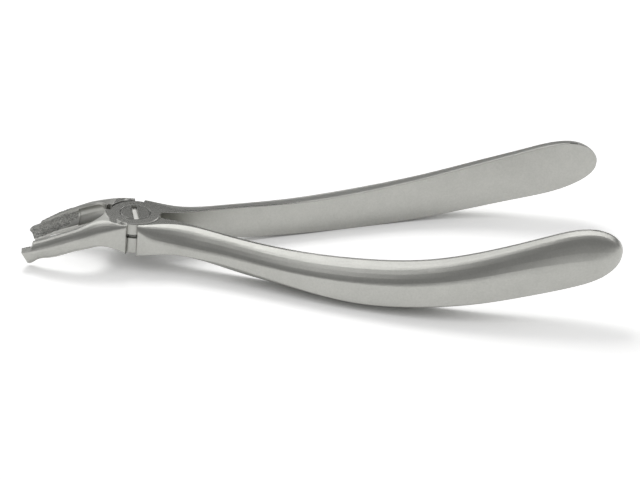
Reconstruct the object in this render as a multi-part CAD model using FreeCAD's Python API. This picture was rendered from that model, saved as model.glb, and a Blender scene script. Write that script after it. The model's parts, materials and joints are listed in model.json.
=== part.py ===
import FreeCAD, Part
import math
import os

# Dental extraction forceps for upper molars, in millimetres, at the spread that they rest in.
#
# Two steel forgings cross in a lap joint. Each is one piece from the end of its handle, through
# a half-thickness lap, to the beak on the other side. A slotted screw holds the laps together
# and is their pivot. Both beaks are gouges with a short prong at the tip, lined with grit.
#
# A half is drawn closed, with the pivot along Z at x = y = 0, the handles towards +X and the
# beaks towards -X. Its handle is on the +Y side and its beak on the -Y side. The other half is
# its mirror image, with the other lap.

V = FreeCAD.Vector
ORIGIN = V(0, 0, 0)

# Lap joint, with heights over the plane in which the halves are drawn
TOP = 4.7                    # upper face
UNDERSIDE = -5.2
UPPER_LAP = 4.2              # thickness of the upper lap
LAP_CLEARANCE = 0.1          # between the laps' flat faces
LAP_RADIUS = 7.6             # round part of each lap
POCKET_CLEARANCE = 0.45      # round each lap, in the blocks of the other half
RIM_GROOVE_HEIGHT = 1.1      # dark groove between the laps, seen between the blocks
RIM_GROOVE_DEPTH = 0.9
BLOCK_SIDE = 9.2             # outer side of the blocks beside the joint
HANDLE_SHOULDER_DEG = 22.25  # from the cross line to the handle's stop shoulder, closed
BEAK_SHOULDER_DEG = 18.0     # from the cross line to the beak's stop shoulder, closed
LIP_RADIUS = 9.0             # end of the lap where it closes the throat between the beaks
LIP_DEG = 13.0               # how far that lip reaches past the middle plane, closed
LIP_CLEARANCE_DEG = 1.5
EDGE_BREAK = 0.25            # on the rims of the laps and the blocks' pockets

# Pivot screw
HEAD_RADIUS = 4.5
HEAD_HEIGHT = 1.5
HEAD_BREAK = 0.15
SLOT_WIDTH = 1.5
SLOT_DEPTH = 0.9
SLOT_DEG = 103.5             # direction of the driver slot at rest, from +X
SHANK_RADIUS = 3.0
THREAD_RADIUS = 2.6
RUNNING_CLEARANCE = 0.05     # round the shank and the head, in the upper lap
THREAD_CLEARANCE = 0.02      # round the thread, in the lower lap
END_RECESS = 0.3             # from the screw's end to the underside

# Movement
REST_DEG = 10.0              # each half's turn from closed to rest
STANCE_DEG = 5.8             # lean of the pivot while the handles' bellies carry the tool

# Handles, closed
HANDLE_LENGTH = 141.8        # from the pivot to the end
HANDLE_BOW = 10.6            # largest distance of the inner face from the middle plane
HANDLE_RISE = 23.3           # of the end's middle above the drawing plane
GRIP_HEIGHT = 16.0           # of the broad end
GRIP_THICKNESS = 7.4
END_ROUNDING = 11.0          # length of the rounded end
EDGE_LAND = 0.9              # flat strip along the inner face's upper edge
DRAFT = 0.15                 # of the forgings' outer sides

# Beaks, closed
TOOTH_SPACE = 4.8            # half width of the space between the closed beaks
THROAT = 9.1                 # from the pivot to the near end of that space
BEAK_DROP_DEG = 26.0         # of the beak's hollow below the joint's plane
HOLLOW_APEX = (-16.1, 0, -1.85)
HOLLOW_RADIUS = 2.8          # of the gouge's section
HOLLOW_DEPTH = 1.7           # under the inner face at the widest place
HOLLOW_BOW = 21.0            # radius along the beak
HOLLOW_START = 4.5           # from the apex to the middle of the ball at the throat
HOLLOW_TURN_DEG = 21.8       # of the arc from the apex to the straight run
HOLLOW_RUN = 16.0
BEAK_DROP = 11.4             # of the underside below the drawing plane, at the prong's end
PRONG_ROOT = 29.7            # from the pivot to the step where the prong starts
PRONG_LENGTH = 3.4
STEP_HEIGHT = 1.9
TIP_GAP = 0.15               # from each prong to the middle plane
GRIT_THICKNESS = 0.35
GRIT_LENGTH = 14.0           # from the prong's end to the border of the grit

SPLIT = TOP - UPPER_LAP
STRIPS = 5                   # faces that each rounded edge of a forging is made of
POCKET_RADIUS = LAP_RADIUS + POCKET_CLEARANCE
CLEAR = 60.0                 # reach of the cutters beyond the joint and the beaks


def strips(poles):
    """A curve with these poles, as a row of shorter edges that meet smoothly."""
    edges = []
    for start in range(STRIPS):
        curve = Part.BezierCurve()
        curve.setPoles(poles)
        curve.segment(start / STRIPS, (start + 1) / STRIPS)
        edges.append(curve.toShape())
    return edges


def section(foot, head, inner, outer, rim, shoulder, heel, shape):
    """One closed section of a forging, in the plane of Y and the line from foot to head.

    foot and head, in the XZ plane, are the ends of the flat inner face at y = inner. At the head
    a flat runs out to y = rim, and a sloping crown strip on from there. The shoulder curves from
    the crown to the side at y = outer, and the heel curves from the side to the lower flat.
    """
    up = V(head[0] - foot[0], 0, head[1] - foot[1])
    height = up.Length
    up.normalize()
    crown, slope, bulge, side_pull, heel_pull, under_pull = shape

    def at(y, h):
        return V(foot[0], 0, foot[1]) + up * h + V(0, y, 0)

    fall = math.tan(math.radians(slope))
    crown_width = crown * (outer - rim)
    crown_height = height - crown_width * fall
    reach = outer - rim - crown_width
    side_height = height - shoulder
    rim_edge = at(rim, height)
    crown_edge = at(rim + crown_width, crown_height)
    side_head = at(outer, side_height)
    side_foot = at(outer - DRAFT, heel)
    lower_edge = at(inner + 0.2 * (outer - inner), 0)
    upper = [crown_edge,
             at(rim + crown_width + bulge * reach, crown_height - bulge * reach * fall),
             at(outer, side_height + side_pull * (crown_height - side_height)), side_head]
    lower = [side_foot, at(outer - DRAFT, (1 - heel_pull) * heel),
             at(inner + under_pull * (outer - inner), 0), lower_edge]
    return Part.Wire([
        Part.makeLine(at(inner, 0), at(inner, height)),
        Part.makeLine(at(inner, height), rim_edge),
        Part.makeLine(rim_edge, crown_edge),
        *strips(upper),
        Part.makeLine(side_head, side_foot),
        *strips(lower),
        Part.makeLine(lower_edge, at(inner, 0)),
    ])


# Crown strip's share and slope, fullness of the shoulder at both ends, and of the heel
HANDLE_SHAPE = (0.31, 8.0, 0.44, 0.43, 0.30, 0.30)
BEAK_SHAPE = (0.10, 6.0, 0.45, 0.55, 0.60, 0.70)


def handle_blank():
    """The handle from the joint to its rounded end: a block that becomes a D-shaped grip."""
    # beside the joint, as shares: place of the lap's radius, inner face of the bow, underside,
    # outer side and upper flat of the block's side, shoulder and heel of the height
    block = [
        (0.0, 0.03, 1.0, 0.967, 0.859, 0.061, 0.051),
        (0.526, 0.03, 0.981, 0.967, 0.761, 0.163, 0.051),
        (1.053, 0.035, 0.827, 0.978, 0.5, 0.4, 0.089),
        (1.711, 0.045, 0.692, 0.913, 0.261, 0.53, 0.133),
    ]
    # along the grip, as shares: place of the length, inner face of the bow, middle of the rise,
    # height and thickness of the broad end's, shoulder and heel of the height
    grip = [
        (0.141, 0.157, 0.016, 0.547, 1.041, 0.491, 0.274),
        (0.205, 0.33, -0.001, 0.622, 0.959, 0.382, 0.392),
        (0.282, 0.5, -0.002, 0.656, 1.0, 0.314, 0.4),
        (0.388, 0.68, 0.036, 0.681, 1.149, 0.284, 0.294),
        (0.508, 0.88, 0.122, 0.769, 1.203, 0.293, 0.203),
        (0.635, 1.0, 0.279, 0.863, 1.149, 0.333, 0.21),
        (0.748, 0.91, 0.504, 0.944, 1.095, 0.397, 0.146),
        (0.846, 0.7, 0.735, 1.003, 1.041, 0.48, 0.1),
    ]
    wires = []
    for place, bow, under, side, flat, shoulder, heel in block:
        x = place * LAP_RADIUS
        y = bow * HANDLE_BOW
        low = under * UNDERSIDE
        height = TOP - low
        wires.append(section((x, low), (x, TOP), y, y + side * BLOCK_SIDE, y + flat * BLOCK_SIDE,
                             shoulder * height, heel * height, HANDLE_SHAPE))
    for place, bow, rise, share, side, shoulder, heel in grip:
        x = place * HANDLE_LENGTH
        y = bow * HANDLE_BOW
        middle = rise * HANDLE_RISE
        height = share * GRIP_HEIGHT
        wires.append(section((x, middle - height / 2), (x, middle + height / 2), y,
                             y + side * GRIP_THICKNESS, y + EDGE_LAND,
                             shoulder * height, heel * height, HANDLE_SHAPE))
    start = HANDLE_LENGTH - END_ROUNDING
    for angle in (0, 40, 66, 85):
        reach = math.sin(math.radians(angle))
        spread = math.cos(math.radians(angle))
        x = start + END_ROUNDING * reach
        middle = HANDLE_RISE - 2.1 * (1 - reach)
        high = middle + (GRIP_HEIGHT / 2 - 0.2) * spread
        low = middle - (GRIP_HEIGHT / 2 - 2.0 * reach * spread) * spread
        y = HANDLE_BOW * (0.54 - 0.09 * reach)
        thick = 0.4 + (GRIP_THICKNESS - 0.4) * spread
        flat = min(EDGE_LAND, 0.3 * thick)
        wires.append(section((x, low), (x, high), y, y + thick, y + flat,
                             0.56 * (high - low), 0.1 * (high - low), HANDLE_SHAPE))
    return Part.makeLoft(wires, True, False)


def beak_blank():
    """The beak's outside, on the +Y side, before its hollow is cut."""
    # as shares: underside's place of the length and depth of the drop, the same for the upper
    # rim, outer side and rim's edge of the block's side, shoulder and heel of the height
    rows = [
        (0.169, 0.316, 0.169, -0.412, 1.011, 0.804, 0.193, 0.06),
        (0.259, 0.281, 0.272, -0.399, 1.0, 0.587, 0.322, 0.148),
        (0.343, 0.33, 0.399, -0.289, 0.989, 0.565, 0.383, 0.246),
        (0.414, 0.421, 0.495, -0.158, 0.967, 0.63, 0.379, 0.313),
        (0.514, 0.532, 0.604, -0.0, 0.88, 0.576, 0.385, 0.33),
        (0.629, 0.69, 0.719, 0.167, 0.772, 0.478, 0.39, 0.335),
        (0.745, 0.822, 0.834, 0.351, 0.63, 0.315, 0.393, 0.329),
        (0.852, 0.939, 0.931, 0.526, 0.457, 0.185, 0.373, 0.294),
        (0.972, 1.029, 1.045, 0.702, 0.261, 0.12, 0.315, 0.234),
    ]
    root = -0.34 * LAP_RADIUS
    wires = [section((root, UNDERSIDE), (root, TOP), 0.0, BLOCK_SIDE, 0.935 * BLOCK_SIDE,
                     0.5, 0.4, BEAK_SHAPE)]
    length = PRONG_ROOT + PRONG_LENGTH
    for foot, foot_drop, head, head_drop, side, rim, shoulder, heel in rows:
        foot_at = (-foot * length, -foot_drop * BEAK_DROP)
        head_at = (-head * length, -head_drop * BEAK_DROP)
        height = math.dist(foot_at, head_at)
        wires.append(section(foot_at, head_at, 0.0, side * BLOCK_SIDE, rim * BLOCK_SIDE,
                             shoulder * height, heel * height, BEAK_SHAPE))
    block = Part.Face(wires[0]).extrude(V(4, 0, 0))
    return block.fuse(Part.makeLoft(wires, True, False))


def tip_space():
    """What the step and the prong's end leave free in front of each beak, over its width."""
    step_foot = -5.0 - STEP_HEIGHT
    end = -PRONG_ROOT - PRONG_LENGTH
    outline = [V(-PRONG_ROOT, 0, TOP), V(-PRONG_ROOT, 0, -5.0), V(-PRONG_ROOT - 0.5, 0, step_foot),
               V(end, 0, step_foot - 1.4), V(end + 1.5, 0, step_foot - 4.2),
               V(end + 4.5, 0, step_foot - 10), V(end - 20, 0, step_foot - 10), V(end - 20, 0, TOP)]
    prism = Part.Face(Part.makePolygon(outline + [outline[0]])).extrude(V(0, 2 * CLEAR, 0))
    prism.translate(V(0, -CLEAR, 0))
    return prism


def tooth_space():
    """The space between the closed beaks, as a prism over the whole height."""
    half = TOOTH_SPACE
    length = PRONG_ROOT - THROAT
    throat = [V(-THROAT, 0, 0)]
    for place, width in ((0.078, 0.64), (0.209, 0.93), (0.354, 1.0), (0.529, 0.9), (0.772, 0.6),
                         (0.966, 0.25)):
        throat.append(V(-THROAT - place * length, width * half, 0))
    throat.append(V(-PRONG_ROOT - 6, TIP_GAP, 0))
    mirrored = [V(p.x, -p.y, 0) for p in reversed(throat[1:])]
    upper = Part.BSplineCurve()
    upper.interpolate(throat)
    lower = Part.BSplineCurve()
    lower.interpolate(mirrored + [throat[0]])
    end = Part.makeLine(throat[-1], mirrored[0])
    prism = Part.Face(Part.Wire([upper.toShape(), end, lower.toShape()])).extrude(V(0, 0, CLEAR))
    prism.translate(V(0, 0, -CLEAR / 2))
    return prism


def gouge(inset):
    """The cutter for the beak's hollow, on the +Y side, made smaller all round by inset.

    A ball starts it at the throat, an arc follows the bow of the beak, and a straight run leaves
    through the prong.
    """
    radius = HOLLOW_RADIUS - inset
    middle = TOOTH_SPACE + HOLLOW_DEPTH - HOLLOW_RADIUS
    start = -math.degrees(HOLLOW_START / HOLLOW_BOW)
    disk = Part.Face(Part.Wire(Part.makeCircle(radius, V(0, middle, 0), V(1, 0, 0))))
    centre = V(0, middle - HOLLOW_BOW, 0)
    disk.rotate(centre, V(0, 0, 1), start)
    ball = Part.makeSphere(radius, disk.CenterOfMass)
    arc = disk.revolve(centre, V(0, 0, 1), HOLLOW_TURN_DEG - start)
    disk.rotate(centre, V(0, 0, 1), HOLLOW_TURN_DEG - start)
    turn = math.radians(HOLLOW_TURN_DEG)
    run = disk.extrude(V(-math.cos(turn), -math.sin(turn), 0) * HOLLOW_RUN)
    cutter = ball.fuse([arc, run]).removeSplitter()
    cutter.rotate(ORIGIN, V(0, 1, 0), -BEAK_DROP_DEG)
    cutter.translate(V(*HOLLOW_APEX))
    return cutter


def mirrored(shape):
    return shape.mirror(ORIGIN, V(0, 1, 0))


def disc(radius, low, high):
    return Part.makeCylinder(radius, high - low, V(0, 0, low))


def wedge(start, end, radius, low, high):
    """A sector round the pivot, between two directions in degrees from +X."""
    sector = Part.makeCylinder(radius, high - low, V(0, 0, low), V(0, 0, 1), end - start)
    return sector.rotated(ORIGIN, V(0, 0, 1), start)


def lap(low, high, outer_face):
    """A lap's round part with its lip, its rim grooved at the split and broken at the outside."""
    body = disc(LAP_RADIUS, low, high)
    body = body.fuse(wedge(180 - LIP_DEG, 210, LIP_RADIUS, low, high)).removeSplitter()
    rim = [e for e in body.Edges
           if abs(e.BoundBox.ZMin - outer_face) < 0.01 and abs(e.BoundBox.ZMax - outer_face) < 0.01]
    body = body.makeChamfer(EDGE_BREAK, rim)
    groove = disc(CLEAR, SPLIT - RIM_GROOVE_HEIGHT / 2, SPLIT + RIM_GROOVE_HEIGHT / 2)
    groove = groove.cut(disc(LAP_RADIUS - RIM_GROOVE_DEPTH, -CLEAR, CLEAR))
    return body.cut(groove)


def half(upper):
    """One half, closed, with its handle on the +Y side, and the lining of its beak."""
    if upper:
        low, high, outer_face = SPLIT + LAP_CLEARANCE / 2, TOP, TOP
        free_low, free_high = UNDERSIDE - CLEAR, low
    else:
        low, high, outer_face = UNDERSIDE, SPLIT - LAP_CLEARANCE / 2, UNDERSIDE
        free_low, free_high = high, TOP + CLEAR

    handle = handle_blank()
    handle = handle.cut(wedge(90 - HANDLE_SHOULDER_DEG, 270, CLEAR, -CLEAR, CLEAR))
    beak = mirrored(beak_blank()).cut(tooth_space()).cut(tip_space())
    beak = beak.cut(wedge(-90 - BEAK_SHOULDER_DEG, 90, CLEAR, -CLEAR, CLEAR))
    hollow = mirrored(gouge(0.0))
    lining = beak.common(hollow).cut(mirrored(gouge(GRIT_THICKNESS)))
    border = PRONG_ROOT + PRONG_LENGTH - GRIT_LENGTH
    lining = lining.common(Part.makeBox(CLEAR, CLEAR, 2 * CLEAR, V(-border - CLEAR, -CLEAR, -CLEAR)))
    beak = beak.cut(hollow)

    blocks = handle.fuse(beak)
    blocks = blocks.cut(Part.makeBox(CLEAR + 16, 2 * CLEAR, CLEAR, V(-CLEAR, -CLEAR, TOP)))
    blocks = blocks.cut(disc(POCKET_RADIUS, free_low, free_high))
    blocks = blocks.cut(wedge(178, 180 + LIP_DEG + LIP_CLEARANCE_DEG, LIP_RADIUS + POCKET_CLEARANCE,
                              free_low, free_high))
    body = blocks.fuse(lap(low, high, outer_face))
    if upper:
        body = body.cut(disc(HEAD_RADIUS + RUNNING_CLEARANCE,
                             TOP - HEAD_HEIGHT - RUNNING_CLEARANCE, CLEAR))
        body = body.cut(disc(SHANK_RADIUS + RUNNING_CLEARANCE, low - 1, TOP))
    else:
        body = body.cut(disc(THREAD_RADIUS + THREAD_CLEARANCE, low - 1, high + 1))
    return body.removeSplitter(), lining.removeSplitter()


def pivot_screw():
    """Flush slotted head, smooth shank in the upper lap, threaded end in the lower lap."""
    head = disc(HEAD_RADIUS, TOP - HEAD_HEIGHT, TOP)
    rim = [e for e in head.Edges if abs(e.BoundBox.ZMin - TOP) < 0.01 and e.Closed]
    head = head.makeChamfer(HEAD_BREAK, rim)
    shank = disc(SHANK_RADIUS, SPLIT - LAP_CLEARANCE / 2, TOP - HEAD_HEIGHT)
    thread = disc(THREAD_RADIUS, UNDERSIDE + END_RECESS, SPLIT - LAP_CLEARANCE / 2)
    slot = Part.makeBox(2 * CLEAR, SLOT_WIDTH, CLEAR, V(-CLEAR, -SLOT_WIDTH / 2, TOP - SLOT_DEPTH))
    slot.rotate(ORIGIN, V(0, 0, 1), SLOT_DEG)
    return head.fuse(shank).fuse(thread).cut(slot).removeSplitter()


upper_half, upper_half_grit = half(True)
lower_half, lower_half_grit = [mirrored(shape) for shape in half(False)]
for shape in (upper_half, upper_half_grit):
    shape.rotate(ORIGIN, V(0, 0, 1), REST_DEG)
for shape in (lower_half, lower_half_grit):
    shape.rotate(ORIGIN, V(0, 0, 1), -REST_DEG)

nodes = {
    "upper_half": upper_half,
    "upper_half_grit": upper_half_grit,
    "lower_half": lower_half,
    "lower_half_grit": lower_half_grit,
    "pivot_screw": pivot_screw(),
}

# The stance on a flat surface, and the origin under the middle of the whole part
for shape in nodes.values():
    shape.rotate(ORIGIN, V(0, 1, 0), STANCE_DEG)
points = [p for shape in nodes.values() for p in shape.tessellate(0.01)[0]]
middle_x = (min(p.x for p in points) + max(p.x for p in points)) / 2
middle_y = (min(p.y for p in points) + max(p.y for p in points)) / 2
lowest = min(p.z for p in points)
move = V(-middle_x, -middle_y, -lowest)

os.makedirs("parts", exist_ok=True)
for name, shape in nodes.items():
    shape.translate(move)
    shape.exportStep("parts/" + name + ".step")
    print(name, "valid", shape.isValid(), "solids", len(shape.Solids), "volume", round(shape.Volume, 2))
print("pivot at", round(move.x, 3), round(move.y, 3), round(move.z, 3))
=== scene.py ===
import bmesh
import bpy
import json
from math import radians
from mathutils import Matrix, Vector
from mathutils.kdtree import KDTree


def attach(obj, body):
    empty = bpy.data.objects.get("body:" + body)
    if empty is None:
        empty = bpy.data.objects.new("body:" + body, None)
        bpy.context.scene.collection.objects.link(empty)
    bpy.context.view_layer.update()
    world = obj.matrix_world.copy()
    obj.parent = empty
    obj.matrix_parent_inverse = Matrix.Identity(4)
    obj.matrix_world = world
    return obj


# Dental extraction forceps for upper molars, lying open on a white sheet.
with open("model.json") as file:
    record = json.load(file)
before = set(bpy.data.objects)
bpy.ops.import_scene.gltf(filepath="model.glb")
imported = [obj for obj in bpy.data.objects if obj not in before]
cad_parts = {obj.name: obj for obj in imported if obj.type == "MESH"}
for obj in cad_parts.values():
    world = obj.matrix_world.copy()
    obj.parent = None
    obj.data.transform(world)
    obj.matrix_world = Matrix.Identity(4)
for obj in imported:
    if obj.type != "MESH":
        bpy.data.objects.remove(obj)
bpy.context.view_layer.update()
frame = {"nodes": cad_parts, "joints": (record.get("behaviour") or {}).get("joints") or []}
nodes = frame["nodes"]


# Lower half
# The far beak, the lower lap and the near handle are one stainless forging. It is blasted to an
# even satin, its flats are ground for the joint, and handling polishes its edges a little.


def add(tree, kind, inputs, **settings):
    """A node with its settings, and its inputs given as values or as other outputs."""
    node = tree.nodes.new(kind)
    for name, value in settings.items():
        setattr(node, name, value)
    for name, value in inputs.items():
        if isinstance(value, bpy.types.NodeSocket):
            tree.links.new(value, node.inputs[name])
        else:
            node.inputs[name].default_value = value
    return node


def effect(name, inputs, outputs):
    """An empty shader node group with named inputs and outputs, and its two end nodes."""
    tree = bpy.data.node_groups.new(name, "ShaderNodeTree")
    for label, (kind, value) in inputs.items():
        socket = tree.interface.new_socket(label, in_out="INPUT", socket_type=kind)
        socket.default_value = value
    for label, kind in outputs.items():
        tree.interface.new_socket(label, in_out="OUTPUT", socket_type=kind)
    return tree, tree.nodes.new("NodeGroupInput"), tree.nodes.new("NodeGroupOutput")


def blank(name):
    """A new material and its node tree."""
    material = bpy.data.materials.new(name)
    material.use_nodes = True
    return material, material.node_tree


def surface(tree, colour, roughness, relief, metal):
    """Leads colour, roughness and relief to a material's shader, and sets its share of metal."""
    shader = tree.nodes["Principled BSDF"]
    shader.inputs["Metallic"].default_value = metal
    tree.links.new(colour.outputs["Result"], shader.inputs["Base Color"])
    tree.links.new(roughness.outputs["Result"], shader.inputs["Roughness"])
    tree.links.new(relief.outputs["Normal"], shader.inputs["Normal"])


def coat(piece, material):
    """Covers a whole piece with one material."""
    nodes[piece].data.materials.clear()
    nodes[piece].data.materials.append(material)


NUMBER = "NodeSocketFloat"
VECTOR = "NodeSocketVector"
pivot = Vector(frame["joints"][0]["pos_m"])
pivot_axis = Vector(frame["joints"][0]["axis"]).normalized()

# Blasting leaves a very fine grain over faint lengthwise strokes of the belt, and a mottled tone
satin, entry, result = effect(
    "satin_grain", {"Grain Size": (NUMBER, 0.00018), "Stroke Length": (NUMBER, 0.006)},
    {"Grain": NUMBER, "Strokes": NUMBER, "Clouds": NUMBER, "Mottle": NUMBER})
place = add(satin, "ShaderNodeTexCoord", {})
fineness = add(satin, "ShaderNodeMath", {0: 1.0, 1: entry.outputs["Grain Size"]}, operation="DIVIDE")
grain = add(satin, "ShaderNodeTexNoise", {
    "Vector": place.outputs["Object"], "Scale": fineness.outputs["Value"], "Detail": 2.0})
slow = add(satin, "ShaderNodeMath", {0: 1.0, 1: entry.outputs["Stroke Length"]}, operation="DIVIDE")
lengthwise = add(satin, "ShaderNodeCombineXYZ", {
    "X": slow.outputs["Value"], "Y": fineness.outputs["Value"], "Z": fineness.outputs["Value"]})
stretched = add(satin, "ShaderNodeVectorMath", {
    0: place.outputs["Object"], 1: lengthwise.outputs["Vector"]}, operation="MULTIPLY")
strokes = add(satin, "ShaderNodeTexNoise", {
    "Vector": stretched.outputs["Vector"], "Scale": 0.4, "Detail": 3.0})
clouds = add(satin, "ShaderNodeTexNoise", {
    "Vector": place.outputs["Object"], "Scale": 140.0, "Detail": 6.0, "Roughness": 0.75})
mottle = add(satin, "ShaderNodeTexNoise", {
    "Vector": place.outputs["Object"], "Scale": 1800.0, "Detail": 3.0})
satin.links.new(grain.outputs["Fac"], result.inputs["Grain"])
satin.links.new(strokes.outputs["Fac"], result.inputs["Strokes"])
satin.links.new(clouds.outputs["Fac"], result.inputs["Clouds"])
satin.links.new(mottle.outputs["Fac"], result.inputs["Mottle"])

# Edges: a small rounding, and a mask of where the rounding bends the surface
edges, entry, result = effect(
    "edge_rounding", {"Radius": (NUMBER, 0.0003)}, {"Normal": VECTOR, "Mask": NUMBER})
rounded = add(edges, "ShaderNodeBevel", {"Radius": entry.outputs["Radius"]}, samples=4)
plain = add(edges, "ShaderNodeNewGeometry", {})
bend = add(edges, "ShaderNodeVectorMath", {
    0: rounded.outputs["Normal"], 1: plain.outputs["Normal"]}, operation="DOT_PRODUCT")
bent = add(edges, "ShaderNodeMapRange", {
    "Value": bend.outputs["Value"], "From Min": 0.995, "From Max": 0.90})
edges.links.new(rounded.outputs["Normal"], result.inputs["Normal"])
edges.links.new(bent.outputs["Result"], result.inputs["Mask"])

# Ground flats: the faces that lie square to the pivot, within a few degrees
flats, entry, result = effect(
    "ground_flats", {"Axis": (VECTOR, (0, 0, 1))}, {"Mask": NUMBER})
place = add(flats, "ShaderNodeTexCoord", {})
facing = add(flats, "ShaderNodeVectorMath", {
    0: place.outputs["Normal"], 1: entry.outputs["Axis"]}, operation="DOT_PRODUCT")
either = add(flats, "ShaderNodeMath", {0: facing.outputs["Value"]}, operation="ABSOLUTE")
level = add(flats, "ShaderNodeMapRange", {
    "Value": either.outputs["Value"], "From Min": 0.994, "From Max": 0.999})
flats.links.new(level.outputs["Result"], result.inputs["Mask"])

light_steel = (0.48, 0.48, 0.453, 1)
worn_steel = (0.54, 0.54, 0.525, 1)
flats_painted_shade = 0.84
roughness_drift = 0.02
stroke_depth = 0.6


def steel(name, dark, satin_roughness, ground_roughness):
    """Stainless steel from dark to light grey, satin all over, smooth where ground and with painted
    shade there.
    """
    material, tree = blank(name)
    finish = add(tree, "ShaderNodeGroup", {}, node_tree=satin)
    edge = add(tree, "ShaderNodeGroup", {}, node_tree=edges)
    flat = add(tree, "ShaderNodeGroup", {"Axis": pivot_axis}, node_tree=flats)
    mixed = add(tree, "ShaderNodeMath", {
        0: finish.outputs["Clouds"], 1: finish.outputs["Mottle"]}, operation="ADD")
    spread = add(tree, "ShaderNodeMapRange", {
        "Value": mixed.outputs["Value"], "From Min": 0.7, "From Max": 1.3})
    tone = add(tree, "ShaderNodeMix", {
        "Factor": spread.outputs["Result"], "A": dark, "B": light_steel}, data_type="RGBA")
    # Faces square to the pivot are ground smoother, and their colour is darkened as painted shade.
    ground = add(tree, "ShaderNodeMix", {
        "Factor": flat.outputs["Mask"], "A": tone.outputs["Result"],
        "B": [flats_painted_shade * value for value in dark[:3]] + [1]}, data_type="RGBA")
    worn = add(tree, "ShaderNodeMath", {
        0: edge.outputs["Mask"], 1: finish.outputs["Strokes"]}, operation="MULTIPLY")
    colour = add(tree, "ShaderNodeMix", {
        "Factor": worn.outputs["Value"], "A": ground.outputs["Result"], "B": worn_steel},
        data_type="RGBA")
    drift = add(tree, "ShaderNodeMapRange", {
        "Value": finish.outputs["Strokes"], "From Min": 0.3, "From Max": 0.7,
        "To Min": satin_roughness - roughness_drift, "To Max": satin_roughness + roughness_drift})
    roughness = add(tree, "ShaderNodeMix", {
        "Factor": flat.outputs["Mask"], "A": drift.outputs["Result"], "B": ground_roughness},
        data_type="FLOAT")
    depth = add(tree, "ShaderNodeMath", {
        0: finish.outputs["Strokes"], 1: stroke_depth, 2: finish.outputs["Grain"]},
        operation="MULTIPLY_ADD")
    relief = add(tree, "ShaderNodeBump", {
        "Strength": 0.5, "Distance": 0.00001, "Height": depth.outputs["Value"],
        "Normal": edge.outputs["Normal"]})
    surface(tree, colour, roughness, relief, 1.0)
    return material


forged = steel("satin_steel", (0.42, 0.42, 0.396, 1), 0.33, 0.20)
coat("lower_half", forged)


# Upper half
# The near beak, the upper lap and the far handle are the other forging, with the same finish.
# Its lap is bored for the screw's shank and sunk for the head.

coat("upper_half", forged)


# Pivot screw
# Its head sits flush in the upper lap, the smooth shank turns there, and the end is driven into
# the lower lap. The head is ground with the joint and the slot is milled. The slot's floor is
# painted lighter as a painted highlight, and a thin dark ring at the head's rim is painted shade
# of the gap around the head.

turned = steel("screw_steel", (0.40, 0.40, 0.377, 1), 0.30, 0.19)
tree = turned.node_tree
shader = tree.nodes["Principled BSDF"]
place = add(tree, "ShaderNodeTexCoord", {})
from_pivot = add(tree, "ShaderNodeVectorMath", {
    0: place.outputs["Object"], 1: pivot}, operation="SUBTRACT")
height = add(tree, "ShaderNodeVectorMath", {
    0: from_pivot.outputs["Vector"], 1: pivot_axis}, operation="DOT_PRODUCT")
aside = add(tree, "ShaderNodeVectorMath", {
    0: from_pivot.outputs["Vector"], 1: pivot_axis}, operation="CROSS_PRODUCT")
radius = add(tree, "ShaderNodeVectorMath", {0: aside.outputs["Vector"]}, operation="LENGTH")
# The slot's floor gets a lighter colour, which is a painted highlight, and a rougher finish.
slot_floor = add(tree, "ShaderNodeMapRange", {
    "Value": height.outputs["Value"], "From Min": 0.0041, "From Max": 0.0039})
# A thin ring at the head's rim is painted near black. This is painted shade of the gap around the
# head.
rim = add(tree, "ShaderNodeMapRange", {
    "Value": radius.outputs["Value"], "From Min": 0.00430, "From Max": 0.00438})
slot_floor_painted_highlight = add(tree, "ShaderNodeMix", {
    "Factor": slot_floor.outputs["Result"], "B": (0.66, 0.66, 0.63, 1)}, data_type="RGBA")
rim_gap_painted_shade = add(tree, "ShaderNodeMix", {
    "Factor": rim.outputs["Result"], "A": slot_floor_painted_highlight.outputs["Result"], "B": (0.07, 0.07, 0.065, 1)},
    data_type="RGBA")
coarse = add(tree, "ShaderNodeMix", {
    "Factor": slot_floor.outputs["Result"], "B": 0.42}, data_type="FLOAT")
tree.links.new(shader.inputs["Base Color"].links[0].from_socket, slot_floor_painted_highlight.inputs["A"])
tree.links.new(shader.inputs["Roughness"].links[0].from_socket, coarse.inputs["A"])
tree.links.new(rim_gap_painted_shade.outputs["Result"], shader.inputs["Base Color"])
tree.links.new(coarse.outputs["Result"], shader.inputs["Roughness"])
coat("pivot_screw", turned)


# Grit linings
# Hard grit in a metal bond lines the hollows of both beaks and creeps over their rims. The bond
# ends in a ragged border towards the joint, and the grains stand out of it.

border_distance = 0.0203
border_bulge = 250.0
border_raggedness = 0.003
lining_height = 0.0095


def beyond_border(tree, spot, distance, bulge):
    """How far a spot lies beyond the ragged border, seen from the joint."""
    reach = add(tree, "ShaderNodeVectorMath", {0: spot, 1: pivot}, operation="DISTANCE")
    axes = add(tree, "ShaderNodeSeparateXYZ", {"Vector": spot})
    lift = add(tree, "ShaderNodeMath", {0: axes.outputs["Z"], 1: lining_height},
               operation="SUBTRACT")
    square = add(tree, "ShaderNodeMath", {
        0: lift.outputs["Value"], 1: lift.outputs["Value"]}, operation="MULTIPLY")
    curved = add(tree, "ShaderNodeMath", {
        0: square.outputs["Value"], 1: bulge, 2: distance}, operation="MULTIPLY_ADD")
    patches = add(tree, "ShaderNodeTexNoise", {"Vector": spot, "Scale": 900.0, "Detail": 4.0})
    ragged = add(tree, "ShaderNodeMath", {
        0: patches.outputs["Fac"], 1: border_raggedness, 2: curved.outputs["Value"]},
        operation="MULTIPLY_ADD")
    return add(tree, "ShaderNodeMath", {
        0: reach.outputs["Value"], 1: ragged.outputs["Value"]}, operation="SUBTRACT")


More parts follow.
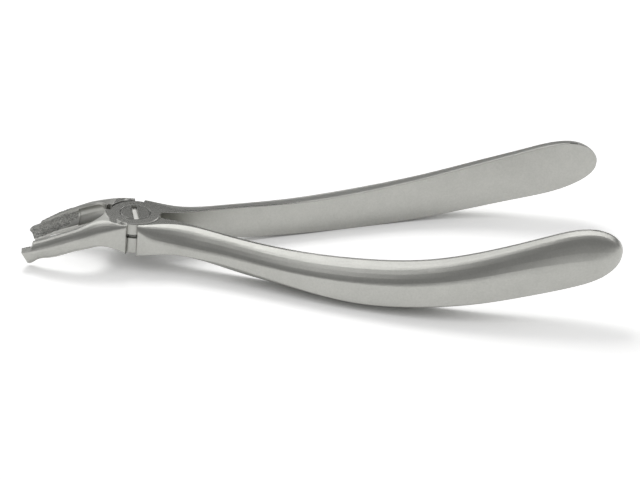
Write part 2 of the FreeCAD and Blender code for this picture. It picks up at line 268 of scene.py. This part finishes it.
bonded, entry, result = effect(
    "ragged_border", {"Distance": (NUMBER, border_distance), "Bulge": (NUMBER, border_bulge)},
    {"Mask": NUMBER})
place = add(bonded, "ShaderNodeTexCoord", {})
beyond = beyond_border(
    bonded, place.outputs["Object"], entry.outputs["Distance"], entry.outputs["Bulge"])
inside = add(bonded, "ShaderNodeMapRange", {
    "Value": beyond.outputs["Value"], "From Min": -0.00125, "From Max": -0.00085})
bonded.links.new(inside.outputs["Result"], result.inputs["Mask"])

# The bond: patchy and pitted inside the border, bare smooth steel outside
grit, tree = blank("grit")
place = add(tree, "ShaderNodeTexCoord", {})
lined = add(tree, "ShaderNodeGroup", {}, node_tree=bonded)
pits = add(tree, "ShaderNodeTexVoronoi", {"Vector": place.outputs["Object"], "Scale": 2800.0})
patches = add(tree, "ShaderNodeTexNoise", {
    "Vector": place.outputs["Object"], "Scale": 1500.0, "Detail": 5.0, "Roughness": 0.7})
spread = add(tree, "ShaderNodeMapRange", {
    "Value": patches.outputs["Fac"], "From Min": 0.35, "From Max": 0.65})
bond = add(tree, "ShaderNodeMix", {
    "Factor": spread.outputs["Result"], "A": (0.20, 0.20, 0.19, 1), "B": (0.72, 0.72, 0.69, 1)},
    data_type="RGBA")
colour = add(tree, "ShaderNodeMix", {
    "Factor": lined.outputs["Mask"], "A": (0.50, 0.50, 0.475, 1), "B": bond.outputs["Result"]},
    data_type="RGBA")
roughness = add(tree, "ShaderNodeMapRange", {
    "Value": lined.outputs["Mask"], "To Min": 0.28, "To Max": 0.55})
height = add(tree, "ShaderNodeMath", {
    0: pits.outputs["Distance"], 1: patches.outputs["Fac"]}, operation="ADD")
raised = add(tree, "ShaderNodeMath", {
    0: height.outputs["Value"], 1: lined.outputs["Mask"]}, operation="MULTIPLY")
relief = add(tree, "ShaderNodeBump", {
    "Strength": 1.0, "Distance": 0.00015, "Height": raised.outputs["Value"]})
surface(tree, colour, roughness, relief, 1.0)

# The grains: each a little lighter or darker than the next
crystal, tree = blank("grit_grains")
place = add(tree, "ShaderNodeTexCoord", {})
speckle = add(tree, "ShaderNodeTexNoise", {
    "Vector": place.outputs["Object"], "Scale": 2600.0, "Detail": 2.0})
spread = add(tree, "ShaderNodeMapRange", {
    "Value": speckle.outputs["Fac"], "From Min": 0.35, "From Max": 0.65})
colour = add(tree, "ShaderNodeMix", {
    "Factor": spread.outputs["Result"], "A": (0.24, 0.24, 0.23, 1), "B": (0.62, 0.62, 0.60, 1)},
    data_type="RGBA")
roughness = add(tree, "ShaderNodeMapRange", {
    "Value": speckle.outputs["Fac"], "To Min": 0.30, "To Max": 0.55})
relief = add(tree, "ShaderNodeBump", {
    "Strength": 0.4, "Distance": 0.00002, "Height": speckle.outputs["Fac"]})
surface(tree, colour, roughness, relief, 0.7)

# Grains are strewn over a surface, thinning out at the ragged border
strewn = bpy.data.node_groups.new("strewn_grains", "GeometryNodeTree")
strewn.interface.new_socket("Geometry", in_out="INPUT", socket_type="NodeSocketGeometry")
for label, value in (("Grain Radius", 0.00015), ("Grains per Square Metre", 9e6),
                     ("Border Distance", border_distance), ("Border Bulge", border_bulge)):
    socket = strewn.interface.new_socket(label, in_out="INPUT", socket_type=NUMBER)
    socket.default_value = value
strewn.interface.new_socket("Geometry", in_out="OUTPUT", socket_type="NodeSocketGeometry")
entry = strewn.nodes.new("NodeGroupInput")
result = strewn.nodes.new("NodeGroupOutput")
spot = add(strewn, "GeometryNodeInputPosition", {})
beyond = beyond_border(strewn, spot.outputs["Position"], entry.outputs["Border Distance"],
                       entry.outputs["Border Bulge"])
share = add(strewn, "ShaderNodeMapRange", {
    "Value": beyond.outputs["Value"], "From Min": -0.0011, "From Max": -0.0004})
scatter = add(strewn, "GeometryNodeDistributePointsOnFaces", {
    "Mesh": entry.outputs["Geometry"], "Distance Min": 0.00022,
    "Density Max": entry.outputs["Grains per Square Metre"],
    "Density Factor": share.outputs["Result"], "Seed": 11}, distribute_method="POISSON")
grain_shape = add(strewn, "GeometryNodeMeshIcoSphere", {
    "Radius": entry.outputs["Grain Radius"], "Subdivisions": 1})
turns = add(strewn, "FunctionNodeRandomValue", {
    "Min": (0, 0, 0), "Max": (6.28, 6.28, 6.28), "Seed": 3}, data_type="FLOAT_VECTOR")
sizes = add(strewn, "FunctionNodeRandomValue", {
    "Min": (0.6, 0.6, 0.6), "Max": (1.4, 1.3, 1.2), "Seed": 5}, data_type="FLOAT_VECTOR")
set_down = add(strewn, "GeometryNodeInstanceOnPoints", {
    "Points": scatter.outputs["Points"], "Instance": grain_shape.outputs["Mesh"],
    "Rotation": turns.outputs["Value"], "Scale": sizes.outputs["Value"]})
real = add(strewn, "GeometryNodeRealizeInstances", {"Geometry": set_down.outputs["Instances"]})
painted = add(strewn, "GeometryNodeSetMaterial", {
    "Geometry": real.outputs["Geometry"], "Material": crystal})
strewn.links.new(painted.outputs["Geometry"], result.inputs["Geometry"])

# The bed of the grains is the lining's hollow face and the beak's rim close to it. The rim's faces
# are first cut small, so that the bed can end within a fraction of a millimetre.
hollow_lean = 0.05
beak_start = 0.017
rim_start = 0.0215
rim_reach = 0.0014
rim_cuts = 3
longest_edge = 0.0008
for half_name, inward, steepest in (("lower_half", -1, 0.85), ("upper_half", 1, 0.995)):
    coat(half_name + "_grit", grit)
    lining = nodes[half_name + "_grit"]
    bed = bmesh.new()
    bed.from_mesh(lining.data)
    outer = [face for face in bed.faces if face.normal.y * inward < hollow_lean]
    bmesh.ops.delete(bed, geom=outer, context="FACES")
    near_lining = KDTree(len(lining.data.vertices))
    for index, vertex in enumerate(lining.data.vertices):
        near_lining.insert(vertex.co, index)
    near_lining.balance()
    rim = bmesh.new()
    rim.from_mesh(nodes[half_name].data)
    rest = [face for face in rim.faces
            if face.calc_center_median().x > pivot.x - beak_start or face.normal.z < steepest]
    bmesh.ops.delete(rim, geom=rest, context="FACES")
    for cut in range(rim_cuts):
        long_edges = [edge for edge in rim.edges if edge.calc_length() > longest_edge]
        bmesh.ops.subdivide_edges(rim, edges=long_edges, cuts=1)
        bmesh.ops.triangulate(rim, faces=rim.faces)
    bare = []
    for face in rim.faces:
        centre = face.calc_center_median()
        if near_lining.find(centre)[2] > rim_reach or (centre - pivot).length < rim_start:
            bare.append(face)
    bmesh.ops.delete(rim, geom=bare, context="FACES")
    rim_mesh = bpy.data.meshes.new("rim")
    rim.to_mesh(rim_mesh)
    rim.free()
    bed.from_mesh(rim_mesh)
    bed_mesh = bpy.data.meshes.new(half_name + "_grains")
    bed.to_mesh(bed_mesh)
    bed.free()
    grains = bpy.data.objects.new(half_name + "_grains", bed_mesh)
    bpy.context.scene.collection.objects.link(grains)
    strewing = grains.modifiers.new("grains", "NODES")
    strewing.node_group = strewn
    bpy.context.view_layer.update()
    finished = bpy.data.meshes.new_from_object(
        grains.evaluated_get(bpy.context.evaluated_depsgraph_get()))
    grains.modifiers.clear()
    grains.data = finished
    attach(grains, half_name)


# Floor
# The forceps lie on a large sheet of matt paper. It looks white all over and darkens only where
# the steel shades it, and its glow carries painted shade where the steel lies close over it.

bpy.ops.mesh.primitive_plane_add(size=8.0, location=(0, 0, 0))
floor = bpy.context.object
floor.name = "floor"
paper, tree = blank("paper")
tree.nodes.clear()
sheet = add(tree, "ShaderNodeBsdfDiffuse", {"Color": (0.9, 0.9, 0.895, 1)})
path = add(tree, "ShaderNodeLightPath", {})
seen = add(tree, "ShaderNodeMath", {
    0: path.outputs["Is Camera Ray"], 1: path.outputs["Is Glossy Ray"]}, operation="MAXIMUM")
# Ambient occlusion dims the sheet's glow close under the steel, which is painted shade.
shelter = add(tree, "ShaderNodeAmbientOcclusion", {"Distance": 0.02}, samples=16)
open_sky = add(tree, "ShaderNodeMapRange", {
    "Value": shelter.outputs["AO"], "From Min": 0.05, "From Max": 0.8, "To Max": 0.46},
    interpolation_type="SMOOTHSTEP")
strength = add(tree, "ShaderNodeMath", {
    0: open_sky.outputs["Result"], 1: seen.outputs["Value"]}, operation="MULTIPLY")
glow = add(tree, "ShaderNodeEmission", {"Strength": strength.outputs["Value"]})
both = add(tree, "ShaderNodeAddShader", {0: sheet.outputs["BSDF"], 1: glow.outputs["Emission"]})
add(tree, "ShaderNodeOutputMaterial", {"Surface": both.outputs["Shader"]})
floor.data.materials.append(paper)


# Studio
# A key lamp behind on the left lights the sheet and casts the shadows. A panel in its place and a
# long strip only give gleams on the steel. The room is grey, brightest low in front and dark low
# behind, where the flats of the joint mirror it.


def hang(name, width, depth, power, location, rotation):
    """A rectangular lamp in its place."""
    light = bpy.data.lights.new(name, "AREA")
    light.shape = "RECTANGLE"
    light.size = width
    light.size_y = depth
    light.energy = power
    lamp = bpy.data.objects.new(name, light)
    lamp.location = location
    lamp.rotation_euler = rotation
    bpy.context.scene.collection.objects.link(lamp)
    return lamp


behind = Vector((-0.154, 0.423, 0.779))
aimed = (-behind).to_track_quat("-Z", "Y").to_euler()
key = hang("key", 0.35, 0.35, 3.1, behind, aimed)
key.visible_glossy = False
panel = hang("panel", 0.45, 0.35, 1.2, behind, aimed)
panel.visible_diffuse = False
strip = hang("strip", 1.8, 0.24, 2.3, (0, 0.49, 0.47), (radians(-46), 0, 0))
strip.visible_diffuse = False

world = bpy.data.worlds.new("studio")
bpy.context.scene.world = world
world.use_nodes = True
tree = world.node_tree
place = add(tree, "ShaderNodeTexCoord", {})
axes = add(tree, "ShaderNodeSeparateXYZ", {"Vector": place.outputs["Generated"]})
front = add(tree, "ShaderNodeMath", {0: axes.outputs["Y"], 1: -1.0}, operation="MULTIPLY")
tilt = add(tree, "ShaderNodeMath", {0: axes.outputs["Z"], 1: front.outputs["Value"]},
           operation="ARCTAN2")
angle = add(tree, "ShaderNodeMapRange", {
    "Value": tilt.outputs["Value"], "From Min": radians(-180), "From Max": radians(180)})
shade = add(tree, "ShaderNodeValToRGB", {"Fac": angle.outputs["Result"]})
stops = shade.color_ramp.elements
shade.color_ramp.interpolation = "EASE"
for degrees, grey in ((0, 0.80), (8, 0.60), (20, 0.44), (36, 0.35), (60, 0.32), (85, 0.38),
                      (105, 0.52), (125, 0.58), (141, 0.48), (148, 0.17), (172, 0.17), (179, 0.5)):
    stop = stops.new((degrees + 180) / 360)
    stop.color = (grey, grey, grey, 1)
stops.remove(stops[0])
tree.links.new(shade.outputs["Color"], tree.nodes["Background"].inputs["Color"])


# Camera
# The view is raised 28 degrees and nearly square to the tool's length, with the beaks on the
# left. The lens is long, so that the near and far half look almost the same size.

lens = bpy.data.cameras.new("camera")
lens.sensor_width = 36.0
lens.lens = 87.4
lens.clip_start = 0.01
camera = bpy.data.objects.new("camera", lens)
bpy.context.scene.collection.objects.link(camera)
viewpoint = Vector((0.015469, -0.410450, 0.224927))
forward = Vector((-0.02912, 0.88243, -0.46947)).normalized()
across = forward.cross(Vector((0, 0, 1))).normalized()
above = across.cross(forward)
camera.matrix_world = Matrix((
    (across.x, above.x, -forward.x, viewpoint.x),
    (across.y, above.y, -forward.y, viewpoint.y),
    (across.z, above.z, -forward.z, viewpoint.z),
    (0, 0, 0, 1),
))
bpy.context.scene.camera = camera
bpy.context.scene.view_settings.view_transform = "Standard"
